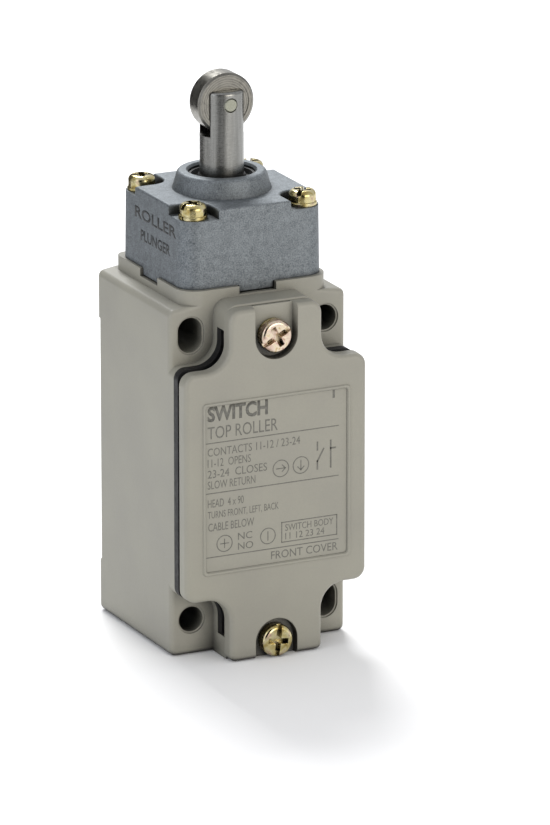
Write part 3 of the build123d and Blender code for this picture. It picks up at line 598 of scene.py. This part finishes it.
lampLooks = {     # place and aim in metres, width and height in metres, power in watts
    "backKey": {"place": (0.2, 0.95, 1.2), "aim": (0, 0, 0.05), "size": (0.5, 0.4), "power": 19,
                "color": "FFFFFF"},
    "leftFill": {"place": (-1.5, -0.3, 0.7), "aim": (0, 0, 0.05), "size": (1.0, 1.2), "power": 5.5,
                 "color": "F4F8FF"},
    "frontFill": {"place": (0.4, -1.6, 0.4), "aim": (0, 0, 0.03), "size": (1.2, 0.7), "power": 10,
                  "color": "FFF8EC"},
}


def makeLamp(name, look):
    data = bpy.data.lights.new(name, "AREA")
    data.shape = "RECTANGLE"
    data.size, data.size_y = look["size"]
    data.energy = look["power"]
    data.color = linearColor(look["color"])[:3]
    lamp = bpy.data.objects.new(name, data)
    place = Vector(look["place"])
    turn = (place - Vector(look["aim"])).to_track_quat("Z", "Y")
    lamp.matrix_world = Matrix.LocRotScale(place, turn, None)
    scene.collection.objects.link(lamp)


flagLift = 0.002      # metres between the floor and a card
flagLooks = {     # dark cards seen only in polished metal: azimuth, distance, width and height in metres
    "frontFlag": {"azimuth": -27, "distance": 0.30, "width": 0.27, "height": 0.36, "color": "080808"},
    "leftFlag": {"azimuth": -100, "distance": 0.32, "width": 0.26, "height": 0.36, "color": "A6A6A6"},
    "backFlag": {"azimuth": -154, "distance": 0.28, "width": 0.30, "height": 0.34, "color": "4A4A4A"},
}


def makeFlag(name, look):
    mesh = bmesh.new()
    bmesh.ops.create_grid(mesh, x_segments=1, y_segments=1, size=0.5)
    azimuth = math.radians(look["azimuth"])
    place = Vector((math.sin(azimuth), -math.cos(azimuth), 0)) * look["distance"]
    stand = (Matrix.Translation(place + Vector((0, 0, look["height"] / 2 + flagLift)))
             @ Matrix.Rotation(azimuth, 4, "Z") @ Matrix.Rotation(math.pi / 2, 4, "X")
             @ Matrix.Diagonal((look["width"], look["height"], 1, 1)))
    bmesh.ops.transform(mesh, matrix=stand, verts=mesh.verts)
    data = bpy.data.meshes.new(name)
    mesh.to_mesh(data)
    mesh.free()
    flag = bpy.data.objects.new(name, data)
    scene.collection.objects.link(flag)
    material, tree = newMaterial(name + "Felt")
    shader = addNode(tree, "ShaderNodeBsdfDiffuse", {"Color": linearColor(look["color"])})
    addNode(tree, "ShaderNodeOutputMaterial", {"Surface": shader.outputs["BSDF"]})
    data.materials.append(material)
    flag.visible_camera = False
    flag.visible_diffuse = False
    flag.visible_shadow = False


worldLook = {"color": "FBFCFF", "strength": 0.79}


def makeWorld(look):
    world = bpy.data.worlds.new("studio")
    world.use_nodes = True
    background = world.node_tree.nodes["Background"]
    background.inputs["Color"].default_value = linearColor(look["color"])
    background.inputs["Strength"].default_value = look["strength"]
    scene.world = world


cameraLook = {"azimuth": -25.85, "elevation": 17.0, "distance": 1.56, "lensMm": 333.4,
              "sideMm": 10.775, "heightMm": 44.74, "sensorMm": 36}


def makeCamera(look):
    azimuth = math.radians(look["azimuth"])
    elevation = math.radians(look["elevation"])
    side = Vector((math.cos(azimuth), math.sin(azimuth), 0))
    back = Vector((math.sin(azimuth) * math.cos(elevation), -math.cos(azimuth) * math.cos(elevation),
                   math.sin(elevation)))
    aim = side * look["sideMm"] * mm + Vector((0, 0, look["heightMm"] * mm))
    data = bpy.data.cameras.new("camera")
    data.lens = look["lensMm"]
    data.sensor_width = look["sensorMm"]
    data.clip_start = 0.01
    camera = bpy.data.objects.new("camera", data)
    turn = back.to_track_quat("Z", "Y")
    camera.matrix_world = Matrix.LocRotScale(aim + back * look["distance"], turn, None)
    scene.collection.objects.link(camera)
    scene.camera = camera


makeFloor(floorLook)
for lampName, lampLook in lampLooks.items():
    makeLamp(lampName, lampLook)
for flagName, flagLook in flagLooks.items():
    makeFlag(flagName, flagLook)
makeWorld(worldLook)
makeCamera(cameraLook)
scene.view_settings.view_transform = "Standard"
print("stage ready")
